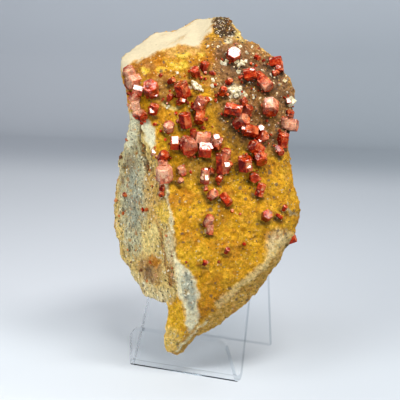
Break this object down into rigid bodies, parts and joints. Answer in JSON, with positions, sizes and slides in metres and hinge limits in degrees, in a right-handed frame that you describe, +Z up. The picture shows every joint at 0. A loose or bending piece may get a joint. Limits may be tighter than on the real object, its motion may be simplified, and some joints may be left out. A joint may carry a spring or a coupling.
{
  "type": "vanadinite specimen on matrix",
  "caption": "Red vanadinite crystals on a broken ochre matrix, standing in a small clear bent-sheet easel.",
  "frame": {"origin": "on the floor under the middle of the easel's V-bend", "axes": "+Z up; X along the easel's width; the lip and the crystal-covered face look towards -Y; the rear leg stands at +Y"},
  "size_m": [0.0663, 0.0443, 0.1131],
  "materials": {
    "clear_acrylic": "clear and polished",
    "ochre_matrix": "rough, granular and matte",
    "vanadinite": "resinous to glassy, slightly see-through",
    "barite": "pearly"
  },
  "bodies": {
    "root": {"easel": "clear_acrylic", "matrix": "ochre_matrix", "barite_right_edge": "barite", "barite_shoulder": "barite", "barite_upper_left": "barite", "barite_upper_right": "barite", "bright_row": "vanadinite", "centre_cluster": "vanadinite", "left_edge_cluster": "vanadinite", "left_face_small": "vanadinite", "left_face_tiny": "vanadinite", "left_large": "vanadinite", "left_small": "vanadinite", "lower_brown": "vanadinite", "lower_dark": "vanadinite", "lower_hexagon": "vanadinite", "lower_hollow": "vanadinite", "lower_pair": "vanadinite", "lowest_small": "vanadinite", "lowest_tiny": "vanadinite", "middle_tiny": "vanadinite", "pale_pair": "vanadinite", "pink_plate": "vanadinite", "red_block": "vanadinite", "ridge_cluster": "vanadinite", "ridge_glint": "vanadinite", "ridge_low": "vanadinite", "ridge_small": "vanadinite", "ridge_tiny": "vanadinite", "right_edge_cluster": "vanadinite", "right_edge_low": "vanadinite", "right_edge_red": "vanadinite", "right_hexagon": "vanadinite", "right_large": "vanadinite", "right_lower": "vanadinite", "right_shoulder": "vanadinite", "right_sliver": "vanadinite", "right_tiny": "vanadinite", "stepped_cluster": "vanadinite", "tall_pair": "vanadinite", "top_bright": "vanadinite", "upper_left_tiny": "vanadinite", "upper_middle_small": "vanadinite", "upper_middle_tiny": "vanadinite", "upper_orange": "vanadinite", "upper_orange_small": "vanadinite", "upper_red_pair": "vanadinite", "upper_right_pair": "vanadinite", "upper_right_tiny": "vanadinite", "upper_tiny": "vanadinite"}
  },
  "joints": []
}
